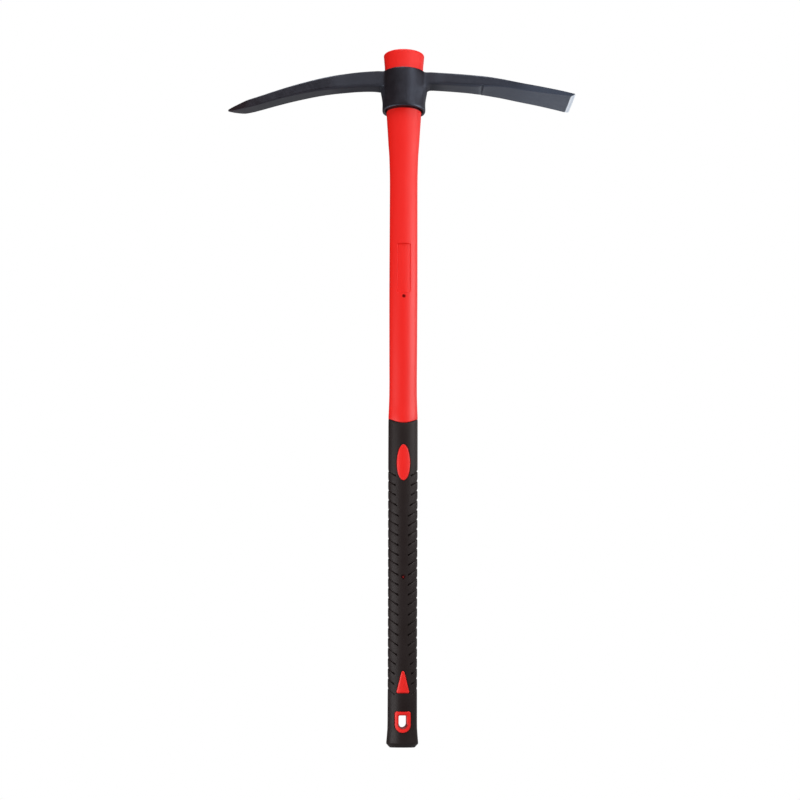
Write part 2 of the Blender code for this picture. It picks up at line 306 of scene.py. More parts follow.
def islandForm(loops, filled):
    # Each loop has an outline and its depth under the crown, or None for the middle plane.
    form = bmesh.new()
    corner = form.verts.layers.int.new("corner")
    sink = form.verts.layers.float.new("sink")
    middlePlane = -1
    depths = [middlePlane if depth is None else depth for outline, depth in loops]
    ring = []
    for k, (x, z) in enumerate(loops[0][0]):
        vert = form.verts.new((x, 0, z))
        vert[corner] = k
        vert[sink] = depths[0]
        ring.append(vert)
    edges = [form.edges.new(pair) for pair in zip(ring, ring[1:] + ring[:1])]
    for loop, depth in zip(loops[1:], depths[1:]):
        edges, verts = extruded(form, edges)
        for vert in verts:
            x, z = loop[0][vert[corner]]
            vert.co = (x, 0, z)
            vert[sink] = depth
    if filled:
        inside = bmesh.ops.contextual_create(form, geom=edges)["faces"][:1]
        low = min(z for x, z in loops[-1][0])
        high = max(z for x, z in loops[-1][0])
        columns, levels = islands["crownColumns"], islands["crownRows"]
        cuts = [((1, 0, 0), (islands["crownStep"] * k, 0, 0)) for k in range(-columns, columns + 1)]
        cuts += [((0, 0, 1), (0, 0, low + (high - low) * k / levels)) for k in range(1, levels)]
        for normal, at in cuts:
            geom = inside + list({edge for item in inside for edge in item.edges})
            geom += list({vert for item in inside for vert in item.verts})
            made = bmesh.ops.bisect_plane(form, geom=geom, plane_co=at, plane_no=normal, dist=mergeWithin / 2)
            inside = [item for item in made["geom"] if isinstance(item, bmesh.types.BMFace)]
    for vert in form.verts:
        depth = skinDepth(vert.co.x, vert.co.z) + islands["proud"] - vert[sink]
        vert.co.y = 0 if vert[sink] < 0 else -depth
    return bothFaces(form)


def turnedOnFaces(rows, steps, height):
    # (radius, distance from the middle plane) rows spun about a level line, on both faces.
    def placed(row, turn):
        return Vector((row[0] * math.cos(turn), -row[1], height + row[0] * math.sin(turn)))

    return bothFaces(turnedForm(rows, steps, placed))


def joined(target, form):
    extra = bpy.data.meshes.new("extra")
    form.to_mesh(extra)
    form.free()
    whole = bmesh.new()
    whole.from_mesh(target.data)
    whole.from_mesh(extra)
    whole.to_mesh(target.data)
    whole.free()
    bpy.data.meshes.remove(extra)


# Red moulding: the bare handle above, a core under the rubber below, and the islands on it.
moulding = {
    "steps": 160,
    "rowStep": 0.003,
    "coreRows": 60, "coreTop": 0.004, "boreRows": 8,
    "seam": 0.0002,  # the moulding's edge starts this far over the rubber's
    "skinFrom": 0.006,
    "edgeProud": 0.0005,  # its scalloped edge stands a little out of the rubber
    "edgeRound": 0.0011,
    # up the rounded edge, in shares of that: how far inside the skin and how high
    "edgeRows": ((0.8, 0.0), (0.3, 0.12), (0.08, 0.42), (0.0, 1.0), (0.0, 2.2), (0.0, 3.6)),
    # above it the rows leave the scallop and turn level, and the edge is flush again
    "edgeFades": ((0.004, 0.05), (0.003, 0.02)),
    "topRound": 0.0015,
    "topHalf": 0.0272,
    "topRings": (0.0215, 0.0165, 0.0125),
    "boreHalf": 0.0103, "boreRound": 0.0005,
    "boreFoot": 0.06,
    "shaftMargin": 0.002,  # how much wider the shaft that the hang slot's ring lines is
    "panelWidth": 0.0168, "panelHeight": 0.0656, "panelCentre": 0.5972, "panelRound": 0.0014,
    "panelMargin": 0.0005,
    # down the sloping rim: growth of the outline and depth under the islands' crown
    "panelRim": (
        (0.0007, None), (0.0007, 0.0002), (0.00055, 0.00042), (0.00005, 0.00145), (-0.0002, 0.00165)),
    "holeCorners": 32,
    "pin": 0.0043, "pinHeight": 0.5592, "pinSink": 0.003,
    "gripPin": 0.0056, "gripPinHeight": 0.2017, "gripPinSink": 0.0006,
    "nubHalf": 0.0008, "nubHeight": 0.0022,  # the stub that the mould's pin left in the grip's hole
    "nubRows": ((0, 0), (1.1, 0), (1, 0.6), (0.7, 0.9), (0, 1)),
    "nubSeat": 0.0001, "nubSteps": 20,  # how far it starts inside the hole's floor
}


def scallopDip(turn):
    return handle["scallop"] * math.sin(turn) ** 2


def coreDip(turn, height):
    # The rows under the rubber follow the scallop only near its top.
    top = handle["gripTop"]
    return scallopDip(turn) * softStep(top - handle["coreLevelTo"], top, height)


def pinFloor(name, under):
    # A pin's height and how far in front of the middle plane its hole ends.
    height = moulding[name + "Height"]
    return height, handleHalf(height) * handle["flatness"] - (under + moulding[name + "Sink"])


def buildMoulding():
    wall, top, flat = handle["wall"], handle["gripTop"], handle["flatness"]
    low, rounded = handle["buttWall"], moulding["edgeRound"]
    seam = top + moulding["seam"]
    rows = [(0, low, "axis")]
    count = moulding["coreRows"]
    for k in range(count + 1):
        rows.append((wireInner, low + (top - moulding["coreTop"] - low) * k / count, "core"))
    rows.append((wireInner, seam, "edge", wall))
    for inset, rise in moulding["edgeRows"]:
        rows.append((wireOuter, seam + rounded * rise, "edge", inset * rounded))
    last = handle["length"] - moulding["topRound"]
    rows += skinRows(top + moulding["skinFrom"], last - 0.001, moulding["rowStep"])
    for degrees in (0, 22, 45, 68, 90):
        bend = math.radians(degrees)
        inward = moulding["topRound"] * (1 - math.cos(bend))
        rows.append((moulding["topHalf"] - inward, last + moulding["topRound"] * math.sin(bend), "rim"))
    for half in moulding["topRings"]:
        rows.append((half, handle["length"], "rim"))
    bore, mouth = moulding["boreHalf"], handle["length"] - moulding["boreRound"]
    rows.append((bore + moulding["boreRound"], handle["length"], "bore"))
    for k in range(moulding["boreRows"] + 1):
        rows.append((bore, mouth - (mouth - moulding["boreFoot"]) * k / moulding["boreRows"], "bore"))
    rows.append((0, moulding["boreFoot"], "axis"))

    def placed(row, turn):
        across, deep = math.cos(turn), math.sin(turn)
        radius, height, kind = row[:3]
        if kind in ("axis", "bore"):
            return Vector((radius * across, radius * deep, height))
        if kind == "rim":
            return Vector((radius * across, radius * flat * deep, height))
        if kind == "core":
            return onHandle(turn, height - coreDip(turn, height), wall)
        proud = moulding["edgeProud"] * deep * deep
        if kind == "edge":
            height -= scallopDip(turn)
            out = row[3] < wall / 2 and height <= top + rounded * 2
            return onHandle(turn, height, row[3] - (proud if out else 0))
        level, flush = (softStep(top + low, top + high, height) for low, high in moulding["edgeFades"])
        return onHandle(turn, height - scallopDip(turn) * (1 - level), -proud * (1 - flush))

    piece = newPiece("redMoulding", turnedForm(rows, moulding["steps"], placed))
    cutAway(piece, slabForm(slotOutline(moulding["shaftMargin"])))
    side = moulding["panelWidth"] / 2 - moulding["panelRound"]
    ends = moulding["panelHeight"] / 2 - moulding["panelRound"]
    middle, corners = moulding["panelCentre"], moulding["holeCorners"]
    circles = [(x, middle + z, moulding["panelRound"]) for x in (-side, side) for z in (-ends, ends)]
    # The panel's floor and sloping rim are spared from a slab that reaches the middle plane.
    plugLoops = [(outlineRound(circles, grow, corners), depth) for grow, depth in moulding["panelRim"]]
    overPanel = slabForm(outlineRound(circles, moulding["panelMargin"], corners), far=0)
    cutAway(piece, overPanel, islandForm(plugLoops, True))
    for name, under in (("pin", 0.0), ("gripPin", wall)):
        height, floor = pinFloor(name, under)
        hole = outlineRound([(0, height, moulding[name] / 2)], 0, corners)
        for near, far in ((-cutReach, -floor), (floor, cutReach)):
            cutAway(piece, slabForm(hole, near, far))
    height, floor = pinFloor("gripPin", wall)
    out, up, foot = moulding["nubHalf"], moulding["nubHeight"], floor - moulding["nubSeat"]
    nubRows = [(out * radius, foot + up * rise) for radius, rise in moulding["nubRows"]]
    joined(piece, turnedOnFaces(nubRows, moulding["nubSteps"], height))
    rim, bevel = islands["rim"], islands["slotBevel"]
    for outline in (ovalOutline, arrowOutline):
        loops = [(outline(share * rim), depth) for share, depth in islands["rimLoops"]]
        joined(piece, islandForm(loops, True))
    loops = [(ringOutline(0), None)]
    loops += [(ringOutline(share * rim), depth) for share, depth in islands["rimLoops"]]
    loops += [(slotOutline(share * bevel + out), depth) for share, out, depth in islands["slotLoops"]]
    loops.append((slotOutline(0), None))
    joined(piece, islandForm(loops, False))
    return smoothShade(piece, 32)


redMoulding = buildMoulding()
print("red moulding", len(redMoulding.data.polygons))


# Black rubber grip: a chevron tread on both flanks and a smooth band down each face.
# A name in At holds where a change starts and ends.
grip = {
    "steps": 176,
    "skinStep": 0.0016, "topStep": 0.002, "innerRows": 40, "innerTop": 0.004,
    "gap": 0.0001,  # between the rubber and the moulding
    "firstNotch": 0.3352, "pitch": 0.01207, "notches": 23,
    "notchRows": (0.00025, 0.0005, 0.00075, 0.001, 0.0013, 0.00185),  # rows over and under each notch
    "padRows": 5, "treadMargin": 0.0062,
    "drop": 0.0105,  # how far a notch runs down from the flank to the smooth band
    "dropBend": 1.1, "dropMost": 1.06,
    "levelTo": 0.01,
    "band": 0.006,  # half the smooth band on each face
    "topBand": 0.0095,  # the same under the oval
    "topBandAt": (0.275, 0.3),
    "footBand": 0.0106,  # and beside the triangle
    "footBandAt": (0.078, 0.122),
    "islandMargin": 0.0018,
    "innerDepth": 0.0025, "innerHalf": 0.00112,  # a notch at its inner end
    "innerRun": 0.0062,  # from there outwards it changes over this length
    "middleDepth": 0.00065, "middleHalf": 0.0005,
    "flankDepth": 0.00165, "flankHalf": 0.0016,  # and where it crosses the flank
    "flankAt": (-0.0022, -0.0002),  # from the handle's side
    "openAt": (-0.0003, 0.0005),  # its inner end opens here, from the smooth band
    "footShare": 0.35, "footAt": (-0.002, 0.016),  # the lowest notches are shallower
    "barrel": 0.0004,  # how far the pads fall away towards the notches
    "barrelPower": 4.5, "barrelAt": (-0.0005, 0.006),
    "buttHalf": 0.0192, "buttBevel": 0.0042, "buttBevelHeight": 0.0046, "buttRound": 0.0007,
    # in shares of buttRound, out and up from the bevel's foot and from its head
    "bevelFootRows": ((-0.8, 0), (-0.1, 0.12), (0.55, 0.62)),
    "bevelHeadRows": ((-0.75, -0.95), (-0.2, -0.35), (0, 0.3)),
    # round the top edge: how far inside the skin and how far down
    "rimRows": ((0.0, 0.0013), (0.00008, 0.0007), (0.0003, 0.0002), (0.0008, 0.0)),
    "creaseRows": 16, "creaseSteps": 128,
    # the cone that opens the pin's window out: share of its radius at the foot, growth at the mouth
    "sinkFoot": 0.9, "sinkOut": 0.0007, "sinkDepth": 0.0009, "sinkClear": 0.0005,
}
lastNotch = grip["firstNotch"] - grip["pitch"] * (grip["notches"] - 1)


def smoothHalf(height):
    # Half the smooth band between the two flanks' treads.
    band = between(grip["band"], grip["topBand"], softStep(*grip["topBandAt"], height))
    band = between(band, grip["footBand"], 1 - softStep(*grip["footBandAt"], height))
    rise = (height - islands["ovalCentre"]) / (islands["ovalHeight"] / 2)
    return max(band, islands["ovalWidth"] / 2 * math.sqrt(max(0.0, 1 - rise * rise)) + grip["islandMargin"])


def gripShear(turn, height):
    # The rows run level at the butt, along the chevrons in the tread and along the scallop at the top.
    flank = math.asin(min(abs(math.sin(turn)), 1))
    reach = math.acos(grip["band"] / handleHalf(height))
    chevron = grip["drop"] * min(flank / reach, grip["dropMost"]) ** grip["dropBend"]
    chevron *= softStep(grip["levelTo"], lastNotch - 0.004, height)
    atTop = softStep(grip["firstNotch"] + 0.006, handle["gripTop"] - 0.004, height)
    return between(chevron, scallopDip(turn), atTop)


def treadRows():
    rows = []
    above, count = grip["notchRows"], grip["padRows"]
    fine = [-rise for rise in reversed(above)] + [0.0] + list(above)
    coarse = grip["pitch"] - 2 * above[-1]
    for k in reversed(range(grip["notches"])):
        notch = grip["firstNotch"] - k * grip["pitch"]
        rows += [(notch + rise, notch) for rise in fine]
        for step in range(1, count):
            nearest = notch if step < count / 2 else notch + grip["pitch"]
            rows.append((notch + above[-1] + coarse * step / count, nearest))
    return rows


def treadSink(turn, height, level, notch):
    # How far the tread lies under the handle's skin.
    half, end = handleHalf(level), smoothHalf(level)
    across, away = abs(half * math.cos(turn)), abs(height - notch)
    beyond = across - end
    inner = 1 - softStep(0, grip["innerRun"], beyond)
    flank = softStep(*grip["flankAt"], across - half)
    wide = between(between(grip["middleHalf"], grip["innerHalf"], inner), grip["flankHalf"], flank)
    deep = between(between(grip["middleDepth"], grip["innerDepth"], inner), grip["flankDepth"], flank)
    share = away / wide
    # a rounded trough in the middle, straight sides at the flank
    slit = deep * (1 - share ** (2.2 - 0.9 * flank)) ** (0.6 + 0.4 * flank) if share < 1 else 0.0
    slit *= softStep(*grip["openAt"], beyond)
    slit *= between(grip["footShare"], 1, softStep(*grip["footAt"], notch - lastNotch))
    pad = max(0.0, 1 - away / (grip["pitch"] * 0.5))
    return slit + grip["barrel"] * pad ** grip["barrelPower"] * softStep(*grip["barrelAt"], beyond)


def buildGrip():
    bevel, half, tall = grip["buttBevel"], grip["buttHalf"], grip["buttBevelHeight"]
    soft, flat, lining = grip["buttRound"], handle["flatness"], handle["wall"] - grip["gap"]
    rows = [(0, 0, "axis"), (half * 0.35, 0, "butt"), (half - bevel - 0.0022, 0, "butt")]
    rows += [(half - bevel + soft * out, soft * up, "butt") for out, up in grip["bevelFootRows"]]
    rows += [(half + soft * out, tall + soft * up, "butt") for out, up in grip["bevelHeadRows"]]
    rows += skinRows(tall + soft * 0.9, lastNotch - grip["treadMargin"], grip["skinStep"])
    rows += [(wireOuter, height, "tread", notch) for height, notch in treadRows()]
    top = handle["gripTop"] - grip["gap"]
    rows += skinRows(rows[-1][1] + 0.0012, top - grip["topStep"], grip["topStep"])
    for inset, drop in (*grip["rimRows"], (lining, 0.0)):
        rows.append((wireOuter - inset, top - drop, "rim", inset))
    start, count = top - grip["innerTop"], grip["innerRows"]
    for k in range(1, count + 1):
        rows.append((wireInner, start - (start - handle["buttWall"]) * k / count, "inner"))
    rows.append((0, handle["buttWall"] - grip["gap"], "axis"))

    def placed(row, turn):
        across, deep = math.cos(turn), math.sin(turn)
        radius, height, kind = row[:3]
        if kind == "axis":
            return Vector((0, 0, height))
        if kind == "butt":
            return Vector((radius * across, radius * flat * deep, height))
        if kind == "inner":
            return onHandle(turn, height - coreDip(turn, height), lining)
        level = height - gripShear(turn, height)
        inset, margin = row[3] if kind == "rim" else 0.0, grip["pitch"] / 2
        inTread = kind == "skin" and lastNotch - margin < height < grip["firstNotch"] + margin
        if kind == "tread" or inTread:
            notch = row[3] if kind == "tread" else height
            inset = treadSink(turn, height, level, min(max(notch, lastNotch), grip["firstNotch"]))
        return onHandle(turn, level, inset)

    def underCrease(row, turn):
        return Vector((0, 0, row[1])) if row[2] == "axis" else onHandle(turn, row[1], islands["creaseDepth"])

    piece = newPiece("rubberSleeve", turnedForm(rows, grip["steps"], placed))
    for outline in (ovalOutline, arrowOutline, ringOutline):
        cutAway(piece, slabForm(outline(islands["windowGap"])))
        low = min(z for x, z in outline()) - islands["creaseMargin"]
        high = max(z for x, z in outline()) + islands["creaseMargin"]
        count = grip["creaseRows"]
        floorRows = [(wireOuter, low + (high - low) * k / count, "skin") for k in range(count + 1)]
        floorRows = [(0, low, "axis"), *floorRows, (0, high, "axis")]
        floor = turnedForm(floorRows, grip["creaseSteps"], underCrease)
        cutAway(piece, slabForm(outline(islands["crease"])), floor)
    pin, height, corners = moulding["gripPin"] / 2, moulding["gripPinHeight"], moulding["holeCorners"]
    cutAway(piece, slabForm(outlineRound([(0, height, pin)], 0, corners)))
    skin = handleHalf(height) * flat
    foot, mouth = skin - grip["sinkDepth"], skin + grip["sinkClear"]
    cone = [(0, foot), (pin * grip["sinkFoot"], foot), (pin + grip["sinkOut"], mouth), (0, mouth)]
    cutAway(piece, turnedOnFaces(cone, corners, height))
    return smoothShade(piece, 38)


rubberSleeve = buildGrip()
print("rubber sleeve", len(rubberSleeve.data.polygons))


# Forged head: one cage for the collar and both arms, rounded by subdivision.
head = {
    "top": 0.873, "collarHeight": 0.055,
    "collarHalf": 0.0289, "collarFlatness": 0.047 / 0.0578,
    "eyeTopHalf": 0.0257, "eyeFootHalf": 0.0234, "eyeFlatness": 0.7829,
    "eyeRound": 0.0012, "eyeRows": 5,
    "sag": 0.0011, "corner": 0.003, "cornerMost": 0.3,  # the most of a side that a corner takes
    "pickReach": 0.2325, "pickFall": 0.0566, "pickWidth": 0.0214, "pickThickness": 0.0182,
    "bladeReach": 0.2245, "bladeFall": 0.0322, "neckBreadth": 0.0233, "bladeWidth": 0.0567,
    "bladeThickness": 0.0158,
    # height above the collar's foot and how far the outer wall stands off collarHalf
    "wallRows": [
        (0.0, -0.0016), (0.0006, -0.0004), (0.0028, 0.0001), (0.0085, -0.0003), (0.0135, -0.0002),
        (0.018, 0.0004), (0.0225, 0.0012), (0.027, 0.0021), (0.0302, 0.0026), (0.0328, 0.0028),
        (0.0385, 0.0028), (0.0445, 0.0027), (0.0505, 0.0019), (0.0538, 0.001), (0.0548, 0.0002)],
    # height above the collar's foot and how far the eye opens out there
    "mouthRows": [(0.0045, 0.0), (0.0016, 0.0012), (0.0, 0.0028)],
    "armFoot": 9, "armHead": 13,  # the wall rows between which the arms grow
    "steps": 24,
    # turns at which the wall's columns stand; the arms grow inside the third one
    "columns": [0, 19.5, 28, 43, 58.5, 74.5, 90],
    "armTurn": 30,  # the same before the columns are drawn together
    "frontSwell": 0.0009,  # how far the wall has grown outwards at its top, in front and behind
    # share of the reach, of the fall, of the width, of the thickness, of the corner
    "pickRows": [
        (0.146, -0.012, 1.03, 1.25, 1.15), (0.164, -0.012, 0.94, 1.22, 1.05), (0.248, 0.016, 0.91, 1.17, 1),
        (0.335, 0.076, 0.91, 1.12, 1), (0.421, 0.145, 0.94, 1.03, 0.95), (0.505, 0.244, 0.98, 0.915, 0.9),
        (0.59, 0.354, 1, 0.835, 0.8), (0.695, 0.502, 0.99, 0.745, 0.7), (0.795, 0.664, 0.96, 0.68, 0.6),
        (0.86, 0.763, 0.935, 0.64, 0.5), (0.893, 0.813, 0.9, 0.58, 0.42), (0.905, 0.834, 0.84, 0.565, 0.38),
        (0.94, 0.889, 0.56, 0.45, 0.28), (0.975, 0.944, 0.27, 0.29, 0.15), (0.996, 0.989, 0.12, 0.12, 0.08),
        (1, 1, 0.1, 0.08, 0.06)],
    # here the third share is how far the width has grown from the neck's to the edge's
    "bladeRows": [
        (0.151, -0.01, 0.04, 1.1, 1.15), (0.169, -0.006, 0.02, 1.06, 1.05), (0.27, 0.02, 0.03, 1.055, 1),
        (0.36, 0.058, 0.05, 1.045, 1), (0.405, 0.083, 0.07, 1.025, 1), (0.444, 0.118, 0.12, 1, 0.95),
        (0.458, 0.132, 0.15, 0.975, 0.9), (0.464, 0.139, 0.165, 0.96, 0.9),
        (0.467, 0.143, 0.173, 0.953, 0.9), (0.469, 0.146, 0.178, 0.948, 0.9),
        (0.472, 0.151, 0.185, 0.94, 0.85), (0.482, 0.164, 0.205, 0.91, 0.85),
        (0.505, 0.196, 0.255, 0.86, 0.75), (0.545, 0.258, 0.33, 0.775, 0.65),
        (0.594, 0.336, 0.415, 0.685, 0.6), (0.645, 0.43, 0.5, 0.62, 0.5), (0.7, 0.532, 0.595, 0.555, 0.4),
        (0.75, 0.616, 0.7, 0.495, 0.36), (0.8, 0.698, 0.785, 0.425, 0.32), (0.85, 0.783, 0.855, 0.37, 0.28),
        (0.9, 0.868, 0.92, 0.305, 0.22), (0.945, 0.945, 0.957, 0.25, 0.14),
        (0.974, 0.998, 0.973, 0.215, 0.1), (0.984, 1.016, 0.978, 0.185, 0.08), (1, 1.044, 0.985, 0.1, 0.05),
        (1.007, 1.056, 0.982, 0.06, 0.03), (1.0085, 1.058, 0.978, 0.05, 0.03)],
    "edgeBow": 0.5,  # how fast the blade's edge falls back from its middle
    "edgeBowAt": (0.93, 1),
    "footRound": 0.9,  # how much rounder an arm's lower edges are at its root
    "footRoundAt": (0.3, 0.7),
    "sideLean": 0.85,  # the blade's sides draw in downwards by this share of its thickness
    "sideLeanAt": (0.55, 0.92),
    # share of the reach and how far the blade's underside drops, at the step that the forging die left
    "dieStep": [
        (0.405, 0.0), (0.444, -0.0003), (0.458, -0.0011), (0.464, -0.0019), (0.467, -0.002), (0.469, 0.0001),
        (0.472, 0.0003), (0.482, 0.0002), (0.505, 0.0)],
    # how much of it shows at the section's places under the blade, from the far edge to the near one
    "dieReach": {8: 0.12, 9: 0.45, 10: 0.9, 11: 1.0, 12: 1.0},
}
dieDrop = curveThrough(head["dieStep"])


def armSection(width, thickness, corners, lean):
    # Sixteen places round a bar, from the near top corner to the far side and back underneath.
    side, footSide = (min(corner, width * head["cornerMost"]) for corner in corners)
    rise, footRise = (min(corner, thickness * head["cornerMost"]) for corner in corners)
    across = width / 2
    foot = across - lean * thickness
    upper = [(y, 0) for y in (-across, side - across, 0, across - side, across)]
    lower = [(y, -thickness) for y in (foot, foot - footSide, 0, footSide - foot, -foot)]
    down = [(across - lean * fall, -fall) for fall in (rise, thickness / 2, thickness - footRise)]
    return upper + down + lower + [(-y, z) for y, z in reversed(down)]


def growArm(form, side, name, narrow):
    # The wall opens where the arm grows, and the opening's rim is extruded step by step.
    layer = form.faces.layers.int["arm"]
    patch = [face for face in form.faces if face[layer] == side]
    around = {edge for face in patch for edge in face.edges}
    edges = [edge for edge in around if sum(link[layer] == side for link in edge.link_faces) == 1]
    bmesh.ops.delete(form, geom=patch, context="FACES")
    place = form.verts.layers.int["place"]
    ring = {vert for edge in edges for vert in edge.verts}
    high = max(vert.co.z for vert in ring) - 0.001  # the rim's top row, within a millimetre
    start = min((vert for vert in ring if vert.co.z > high), key=lambda vert: vert.co.y)
    chain = [start]
    onward = next(edge for edge in edges if start in edge.verts and edge.other_vert(start).co.z > high)
    vert = onward.other_vert(start)
    while vert is not start:
        chain.append(vert)
        onward = next(edge for edge in edges if vert in edge.verts and edge is not onward)
        vert = onward.other_vert(vert)
    for k, vert in enumerate(chain):
        vert[place] = k
    top, blade = head["top"] - head["sag"], side > 0
    reach, fall, broad, thickness = (head[name + part] for part in ("Reach", "Fall", "Width", "Thickness"))
    for share, drop, wide, thick, corner in head[name + "Rows"]:
        edges, verts = extruded(form, edges)
        lean = head["sideLean"] * softStep(*head["sideLeanAt"], share) if blade else 0
        bow = head["edgeBow"] * softStep(*head["edgeBowAt"], share) if blade else 0
        rounder = 1 + head["footRound"] * (1 - softStep(*head["footRoundAt"], share))
        corner *= head["corner"]
        corners = corner, corner * rounder
        section = armSection(between(narrow, broad, wide), thickness * thick, corners, lean)
        for vert in verts:
            y, z = section[vert[place]]
            if blade:
                z -= dieDrop(share) * head["dieReach"].get(vert[place], 0)
            vert.co = (side * reach * share - bow * y * y, y, top - fall * drop + z)
    bmesh.ops.contextual_create(form, geom=edges)


def buildHead():
    foot = head["top"] - head["collarHeight"]
    rows = [(head["collarHalf"] + off, foot + rise, "wall") for rise, off in head["wallRows"]]
    high, low = head["eyeTopHalf"], head["eyeFootHalf"]
    rounded, count = head["eyeRound"], head["eyeRows"]
    rows += [(high + rounded, head["top"], "eye"), (high, head["top"] - rounded, "eye")]
    for share in (k / count for k in range(1, count)):
        rows.append((between(high, low, share), between(head["top"], foot, share), "eye"))
    rows += [(low + out, foot + rise, "eye") for rise, out in head["mouthRows"]]
    form = spunWire(rows, head["steps"], closed=True)
    form.verts.layers.int.new("place")
    rowOf = form.verts.layers.int["row"]
    armOf = form.faces.layers.int.new("arm")
    bmesh.ops.remove_doubles(form, verts=form.verts, dist=mergeWithin)
    # The even columns are drawn together where the arms grow, so that these get their own corners.
    columns, even = head["columns"], 360 / head["steps"]
    lowRow, highRow = head["armFoot"], head["armHead"]
    for face in form.faces:
        middle = face.calc_center_median()
        turn = abs(math.degrees(math.atan2(middle.y, abs(middle.x))))
        inRows = all(lowRow <= vert[rowOf] <= highRow for vert in face.verts)
        face[armOf] = (1 if middle.x > 0 else -1) if inRows and turn < head["armTurn"] else 0
    for vert in form.verts:
        turn = math.degrees(math.atan2(vert.co.y, vert.co.x))
        quarter = abs(turn) if abs(turn) <= 90 else 180 - abs(turn)
        step = round(quarter / even)
        bent = columns[step] if abs(turn) <= 90 else 180 - columns[step]
        bent = math.radians(math.copysign(bent, turn))
        gap = math.radians(columns[step] - columns[step - 1] if step else even)
        radius, height, kind = rows[vert[rowOf]]
        if kind == "wall" and vert[rowOf] > 1:
            straight = head["collarHalf"] + head["frontSwell"] * (height - foot) / head["collarHeight"]
            radius += (straight - radius) * abs(math.sin(bent)) ** 1.5
        radius *= 3 / (2 + math.cos(gap))  # makes up for what the rounding draws in
        flat = head["collarFlatness"] if kind == "wall" else head["eyeFlatness"]
        vert.co = (radius * math.cos(bent), radius * flat * math.sin(bent), height)
    growArm(form, -1, "pick", 0)
    growArm(form, 1, "blade", head["neckBreadth"])
    bmesh.ops.recalc_face_normals(form, faces=form.faces)
    piece = newPiece("forgedHead", form)
    rounding = piece.modifiers.new("rounding", "SUBSURF")
    rounding.levels = rounding.render_levels = 3
    piece.data.shade_smooth()
    return piece


forgedHead = buildHead()
print("forged head", len(forgedHead.data.polygons))

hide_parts("handle_jacket")
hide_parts("rubber_grip")
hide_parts("pick_head")
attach(redMoulding, "handle")
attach(rubberSleeve, "handle")
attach(forgedHead, "head")


def operator(operation):
    # An operator's method and its reflected form.
    def plain(self, other):
        return self.worked(operation, self, other)

    def reflected(self, other):
        return self.worked(operation, other, self)

    return plain, reflected


class Signal:
    # One output in a node tree; sums on it add Math nodes.
    __add__, __radd__ = operator("ADD")
    __sub__, __rsub__ = operator("SUBTRACT")
    __mul__, __rmul__ = operator("MULTIPLY")
    __truediv__, __rtruediv__ = operator("DIVIDE")
    __pow__, __rpow__ = operator("POWER")

    def __init__(self, socket):
        self.socket = socket

    def worked(self, operation, first, second, clamp=False):
        node = self.socket.id_data.nodes.new("ShaderNodeMath")
        node.operation = operation
        node.use_clamp = clamp
        feed(node.inputs[0], first)
        feed(node.inputs[1], second)
        return Signal(node.outputs[0])

    def __abs__(self):
        return self.worked("ABSOLUTE", self, 0)

    def clamped(self):
        return self.worked("ADD", self, 0, True)

    def over(self, edge, width):
        # 0 below the edge, 1 above it, with a ramp of this width across it.
        return ((self - (edge - width / 2)) / width).clamped()


def feed(socket, value):
    if isinstance(value, Signal):
        socket.id_data.links.new(value.socket, socket)
    elif isinstance(value, tuple) and len(value) == 3 and socket.type == "RGBA":
        socket.default_value = (*value, 1)
    else:
        socket.default_value = value


class Finish:
    # A material or the room under way, round its first shader.
    def __init__(self, owner, fixed):
        owner.use_nodes = True
        self.owner = owner
        self.tree = owner.node_tree
        self.shader = self.own("BSDF_PRINCIPLED", "BACKGROUND")
        self.give(fixed)

    def own(self, *kinds):
        return next(node for node in self.tree.nodes if node.type in kinds)

    def give(self, sockets):
        for name, value in sockets.items():
            feed(self.shader.inputs[name], value)

    def node(self, kind, settings, sockets, output=0):
        made = self.tree.nodes.new(kind)
        for name, value in settings.items():
            setattr(made, name, value)
        for name, value in sockets.items():
            feed(made.inputs[name], value)
        return Signal(made.outputs[output])

    def place(self, scale=(1, 1, 1)):
        spot = self.node("ShaderNodeTexCoord", {}, {}, "Object")
        return self.node("ShaderNodeMapping", {}, {"Vector": spot, "Scale": scale})

    def grain(self, scale, detail=2, rough=0.5, stretch=(1, 1, 1)):
        sockets = {"Vector": self.place(stretch), "Scale": scale, "Detail": detail, "Roughness": rough}
        return self.node("ShaderNodeTexNoise", {}, sockets)

    def axes(self, wanted):
        node = self.node("ShaderNodeSeparateXYZ", {}, {0: self.place()}).socket.node
        return [Signal(node.outputs[name]) for name in wanted]

    def mixed(self, factor, first, second):
        return self.node("ShaderNodeMix", {"data_type": "RGBA"}, {0: factor, 6: first, 7: second}, 2)

    def bumped(self, height, distance, strength, under=None):
        sockets = {"Height": height, "Distance": distance, "Strength": strength}
        if under:
            sockets["Normal"] = under
        return self.node("ShaderNodeBump", {}, sockets)

    def shownWhite(self, kind):
        # Plain white to the camera itself; everything else is lit by the first shader.
        seen = self.node("ShaderNodeLightPath", {}, {}, "Is Camera Ray")
        white = self.node(kind, {}, {"Color": (1, 1, 1), "Strength": 1.0})
        first = Signal(self.shader.outputs[0])
        mixer = self.node("ShaderNodeMixShader", {}, {0: seen, 1: first, 2: white})
        feed(self.own("OUTPUT_MATERIAL", "OUTPUT_WORLD").inputs["Surface"], mixer)


def newFinish(name, fixed):
    return Finish(bpy.data.materials.new(name), fixed)


